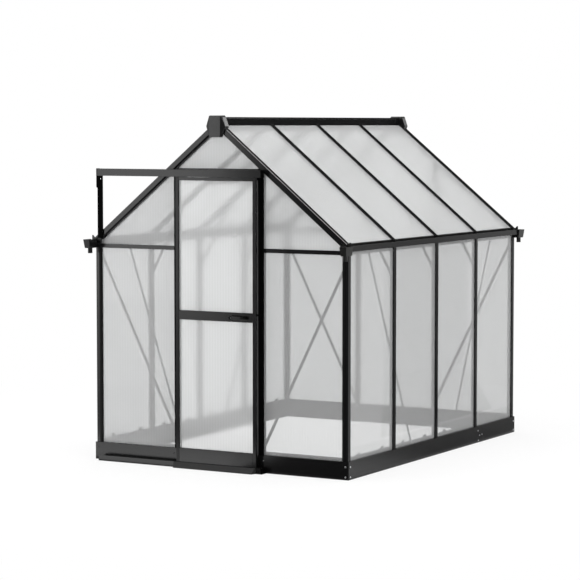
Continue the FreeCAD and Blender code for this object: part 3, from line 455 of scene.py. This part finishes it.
def screws(name, places, radius, look, body):
    """Screw heads at points, each with the direction it faces."""
    head = pan_head(radius)
    pattern = bpy.data.meshes.new(name + "_head")
    head.to_mesh(pattern)
    head.free()
    shape = bmesh.new()
    for number, (point, facing) in enumerate(places):
        start = len(shape.verts)
        shape.from_mesh(pattern)
        shape.verts.ensure_lookup_table()
        turn = Vector((0, 0, 1)).rotation_difference(Vector(facing)).to_matrix().to_4x4()
        spin = Matrix.Rotation(HEAD_TURN * number, 4, "Z")
        bmesh.ops.transform(shape, matrix=Matrix.Translation(Vector(point)) @ turn @ spin,
                            verts=shape.verts[start:])
    bpy.data.meshes.remove(pattern)
    mesh_piece(name, shape, look, body)


def corner_screws():
    """Screws of the base corners and doorway; those left of the door gable are dark steel, painted
    shade.
    """
    bright = []
    shaded = []
    for side in (-1, 1):
        # the same screws on the left of the door get dark steel, as painted shade
        near = bright if side > 0 else shaded
        for z in CORNER_Z:
            near.append(((side * CORNER_X, BASE_FRONT, z), (0, -1, 0)))
            bright.append(((side * CORNER_X, -BASE_FRONT, z), (0, 1, 0)))
            bright.append(((side * BASE_SIDE, CORNER_Y, z), (side, 0, 0)))
            bright.append(((side * BASE_SIDE, -CORNER_Y, z), (side, 0, 0)))
        near.append(((side * DOORWAY_SCREW[0], BASE_FRONT, DOORWAY_SCREW[1]), (0, -1, 0)))
    screws("corner_screws", bright, CORNER_SCREW, ZINC, "frame")
    screws("corner_screws_shaded", shaded, CORNER_SCREW, STEEL, "frame")


def splice_screws():
    """Screws through the long base sides into the splice plates."""
    places = []
    for side in (-1, 1):
        for y, z in SPLICE_SCREWS:
            places.append(((side * BASE_SIDE, y, z), (side, 0, 0)))
    screws("splice_screws", places, SPLICE_SCREW, ZINC, "frame")


def door_gear_screws():
    """Screw of the track's end plate and the fixing screw in the tray of the finger pull."""
    plate_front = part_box("track_brackets")[0][1]
    plate = (TRACK_SCREW_AT[0], plate_front, TRACK_SCREW_AT[1])
    screws("track_screw", [(plate, (0, -1, 0))], TRACK_SCREW, ZINC, "frame")
    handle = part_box("door_handle")
    tray = (handle[0][0] + TRAY_INSET[0], handle[1][1] - TRAY_INSET[1],
            (handle[0][2] + handle[1][2]) / 2)
    screws("handle_screw", [(tray, (0, -1, 0))], HANDLE_SCREW, ZINC, "door")


def prism(shape, outline, start, along):
    """Adds a straight closed bar to a bmesh: an outline of points and the way it runs."""
    near = [shape.verts.new(Vector(start) + Vector(point)) for point in outline]
    far = [shape.verts.new(Vector(start) + Vector(point) + Vector(along)) for point in outline]
    count = len(outline)
    for step in range(count):
        ahead = (step + 1) % count
        shape.faces.new((near[step], near[ahead], far[ahead], far[step]))
    shape.faces.new(list(reversed(near)))
    shape.faces.new(far)


def bars_piece(name, bars, look, body):
    """A piece of straight bars, each with its outline, its start and the way it runs."""
    shape = bmesh.new()
    for outline, start, along in bars:
        prism(shape, outline, start, along)
    bmesh.ops.recalc_face_normals(shape, faces=shape.faces)
    mesh_piece(name, shape, look, body)


def pull_shadow_lip():
    """Black hooked lip on the lock rail over the finger pull and beside the latch: a painted shadow.
    """
    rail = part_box("door_mid_rail")[0][1]
    outline = [(x, rail, z) for x, z in PULL_SHADOW_LIP]
    bars = [(outline, PULL_SHADOW_LIP_START, PULL_SHADOW_LIP_RUN)]
    bars_piece("pull_shadow_lip", bars, MATTE_AND_SHADE, "door")


def post_shade_seals():
    """Black wedge seals between the corner posts and gable sheets, painting the shade in that recess.
    """
    posts = {-1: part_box("corner_posts_front"), 1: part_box("corner_posts_back")}
    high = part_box("gable_bars")[0][2] - POST_SHADE_SEAL_GAPS[1]
    bars = []
    for end, post in posts.items():
        wall = post[0][1] if end < 0 else post[1][1]
        low = post[0][2] + POST_SHADE_SEAL_GAPS[0]
        for side in (-1, 1):
            outline = [(side * x, wall - end * depth, 0) for x, depth in POST_SHADE_SEAL]
            bars.append((outline, (0, 0, low), (0, 0, high - low)))
    bars_piece("post_shade_seals", bars, SEAL_AND_SHADE, "frame")


def stop_highlight_seals():
    """Grey seals on the doorway posts' flanges that the closed door laps: a painted highlight."""
    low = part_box("door_posts")[0]
    foot, head = STOP_HIGHLIGHT_SEAL_Z
    bars = []
    for side in (-1, 1):
        outline = [(side * x, low[1] - height, 0) for x, height in STOP_HIGHLIGHT_SEAL]
        bars.append((outline, (0, 0, foot), (0, 0, head - foot)))
    bars_piece("stop_highlight_seals", bars, GREY_HIGHLIGHT, "frame")


def stop_feet():
    """Angle plates that carry the stop flanges down over the ends of the base."""
    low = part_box("door_posts")[0]
    bars = []
    for side in (-1, 1):
        outline = [(side * x, low[1] + depth, 0) for x, depth in STOP_FOOT]
        bars.append((outline, (0, 0, STOP_FOOT_Z), (0, 0, low[2] - STOP_FOOT_Z - STOP_FOOT_GAP)))
    bars_piece("stop_feet", bars, MATTE_AND_SHADE, "frame")


def drip_edge_shades():
    """Black end closures on the roof sheets' lower edges, with a lip over the gutter: painted shade.
    """
    lines = (-BAR_PITCH, 0.0, BAR_PITCH)
    starts = [-ROOF_END] + [line + BAR_ROOM for line in lines]
    ends = [line - BAR_ROOM for line in lines] + [ROOF_END]
    bars = []
    for side in (-1, 1):
        outline = [(side * x, 0, z) for x, z in DRIP_EDGE_SHADE]
        for start, end in zip(starts, ends):
            bars.append((outline, (0, start, 0), (0, end - start, 0)))
    bars_piece("drip_edge_shades", bars, SEAL_AND_SHADE, "frame")


def rafter_highlight_trims():
    """Thin pale strips along the outer edge of the gable rafters: a painted highlight."""
    upper, lower = HIGHLIGHT_TRIM_RUN
    bars = []
    for end, name in ((-1, "rafters_front"), (1, "rafters_back")):
        low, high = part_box(name)
        face = low[1] if end < 0 else high[1]
        for side in (-1, 1):
            run = Vector((-side * math.cos(PITCH), 0, math.sin(PITCH)))
            out = Vector((side * math.sin(PITCH), 0, math.cos(PITCH)))
            start = Vector((0, 0, APEX)) - run * lower
            outline = []
            for inset, painted_lift in RAFTER_HIGHLIGHT_TRIM:
                outline.append(Vector((0, face - end * inset, 0)) + out * painted_lift)
            bars.append((outline, start, run * (lower - upper)))
    bars_piece("rafter_highlight_trims", bars, PALE_HIGHLIGHT, "frame")


def make_camera():
    """Sets the camera where the photo was taken."""
    lens = bpy.data.cameras.new("camera")
    lens.sensor_width = SENSOR_MM
    lens.lens = LENS_MM
    lens.clip_end = VIEW_END
    camera = bpy.data.objects.new("camera", lens)
    ahead = Vector((-math.sin(CAMERA_YAW) * math.cos(CAMERA_PITCH),
                    math.cos(CAMERA_YAW) * math.cos(CAMERA_PITCH), -math.sin(CAMERA_PITCH)))
    camera.location = CAMERA_AT
    camera.rotation_euler = ahead.to_track_quat("-Z", "Y").to_euler()
    bpy.context.scene.collection.objects.link(camera)
    bpy.context.scene.camera = camera


def background_rays(tree):
    """1 for the rays that show the white background: eye, mirror and sheet."""
    path = tree.nodes.new("ShaderNodeLightPath")
    shown = path.outputs["Is Camera Ray"]
    for other in ("Is Glossy Ray", "Is Transmission Ray"):
        shown = calculate(tree, "MAXIMUM", shown, path.outputs[other])
    return shown


def make_floor():
    """A pale floor that keeps the soft shadow."""
    shape = bmesh.new()
    bmesh.ops.create_grid(shape, x_segments=1, y_segments=1, size=FLOOR_HALF)
    data = bpy.data.meshes.new("floor")
    shape.to_mesh(data)
    shape.free()
    floor = bpy.data.objects.new("floor", data)
    floor.location.z = FLOOR_Z
    material, tree, shader = new_material("pale_floor")
    tint = blend(tree, noise(tree, object_point(tree), *FLOOR_CLOUD), *FLOOR_TONES)
    tree.links.new(tint, shader.inputs["Base Color"])
    shader.inputs["Roughness"].default_value = MATT
    shader.inputs["Specular IOR Level"].default_value = 0.0
    glow = tree.nodes.new("ShaderNodeEmission")
    away = tree.nodes.new("ShaderNodeVectorMath")
    away.operation = "LENGTH"
    tree.links.new(object_point(tree), away.inputs[0])
    white = ramp(tree, away.outputs["Value"], *FLOOR_WHITE, *FLOOR_RISE)
    share = calculate(tree, "MULTIPLY", background_rays(tree), white)
    both = tree.nodes.new("ShaderNodeMixShader")
    tree.links.new(share, both.inputs["Fac"])
    tree.links.new(shader.outputs["BSDF"], both.inputs[1])
    tree.links.new(glow.outputs["Emission"], both.inputs[2])
    tree.links.new(both.outputs["Shader"], tree.nodes["Material Output"].inputs["Surface"])
    data.materials.append(material)
    bpy.context.scene.collection.objects.link(floor)


def make_world():
    """White as background, softer as light."""
    world = bpy.data.worlds.new("studio")
    world.use_nodes = True
    tree = world.node_tree
    back = tree.nodes["Background"]
    back.inputs["Color"].default_value = (1, 1, 1, 1)
    strength = ramp(tree, background_rays(tree), WORLD_LIGHT, 1.0)
    tree.links.new(strength, back.inputs["Strength"])
    bpy.context.scene.world = world


def softbox(name, place, aim, width, height, power, mirrors_only):
    """A rectangular studio light that faces a point."""
    light = bpy.data.lights.new(name, "AREA")
    light.shape = "RECTANGLE"
    light.size = width
    light.size_y = height
    light.energy = power
    lamp = bpy.data.objects.new(name, light)
    lamp.location = place
    lamp.rotation_euler = (Vector(aim) - Vector(place)).to_track_quat("-Z", "Y").to_euler()
    lamp.visible_camera = False
    lamp.visible_transmission = False
    lamp.visible_diffuse = not mirrors_only
    bpy.context.scene.collection.objects.link(lamp)


def make_lights():
    """Softboxes at the left, at the right and overhead, and panels for the sheen of the frame."""
    for name, values in SOFTBOXES.items():
        softbox(name, *values, mirrors_only=False)
    for name, values in SHEEN_PANELS.items():
        softbox(name, *values, mirrors_only=True)


def card(name, corners, look):
    """A card that only mirrors see, as a studio uses to keep sides of an object dark."""
    data = bpy.data.meshes.new(name)
    data.from_pydata(corners, [], [range(len(corners))])
    data.materials.append(look)
    made = bpy.data.objects.new(name, data)
    for kind in ("camera", "diffuse", "transmission", "shadow", "volume_scatter"):
        setattr(made, "visible_" + kind, False)
    bpy.context.scene.collection.objects.link(made)


def card_across(name, y, x, z, look):
    """An upright card that faces along the house, between two places across and two heights."""
    card(name, [(x[0], y, z[0]), (x[1], y, z[0]), (x[1], y, z[1]), (x[0], y, z[1])], look)


def card_along(name, x, y, z, look):
    """An upright card that faces across the house, between two places along it and two heights."""
    card(name, [(x, y[0], z[0]), (x, y[1], z[0]), (x, y[1], z[1]), (x, y[0], z[1])], look)


def card_flat(name, corners, look):
    """A card on the floor."""
    card(name, [(x, y, CARD_FLOOR) for x, y in corners], look)


def graded_look(name, start, end, near, far):
    """A glowing matt grey, graded along the house, that paints a reflection in the base's right side.
    """
    material, tree, shader = new_material(name)
    tone = ramp(tree, coordinate(tree, object_point(tree), "Y"), near, far, start, end, smooth=True)
    tree.links.new(tone, shader.inputs["Base Color"])
    tree.links.new(tone, shader.inputs["Emission Color"])
    shader.inputs["Emission Strength"].default_value = CARD_GLOW
    shader.inputs["Roughness"].default_value = MATT
    shader.inputs["Specular IOR Level"].default_value = 0.0
    return material


def make_cards():
    """Cards in front of the door gable, beside the right wall, behind the roof and on the floor."""
    black = solid_look("card_black", neutral(0.004), neutral(0.006), rough=(0.8, 0.9), specular=0.1,
                       grain=50.0, depth=0.02)
    # the grey card glows and paints the reflection along the right side of the base
    graded = graded_look("card_grey", start=-1.15, end=0.25, near=1.0, far=0.28)
    card_across("card_front", y=-4.0, x=(-1.45, 1.4), z=(0.0, 4.0), look=black)
    card_flat("card_front_floor", [(0.1, -1.34), (1.3, -1.29), (1.4, -4.0), (-1.3, -4.0)], black)
    card_along("card_ridge", x=3.2, y=(2.0, 12.0), z=(1.8, 3.4), look=black)
    card_along("card_posts", x=3.2, y=(3.7, 5.4), z=(0.0, 1.15), look=black)
    card_flat("card_posts_floor", [(1.6, 0.50), (3.2, 3.7), (3.2, 5.4), (1.6, 2.4)], black)
    card_flat("card_base_floor", [(0.98, -1.3), (1.55, -1.3), (1.55, 3.5), (0.98, 2.6)], graded)
    card_along("card_cap", x=3.0, y=(-2.9, -0.7), z=(1.7, 2.8), look=black)
    card_across("card_back", y=8.0, x=(-5.0, 2.2), z=(2.6, 11.0), look=black)


dress_nodes()
corner_screws()
splice_screws()
door_gear_screws()
pull_shadow_lip()
post_shade_seals()
stop_highlight_seals()
stop_feet()
drip_edge_shades()
rafter_highlight_trims()
make_camera()
make_floor()
make_world()
make_lights()
make_cards()
bpy.context.scene.view_settings.view_transform = "Standard"
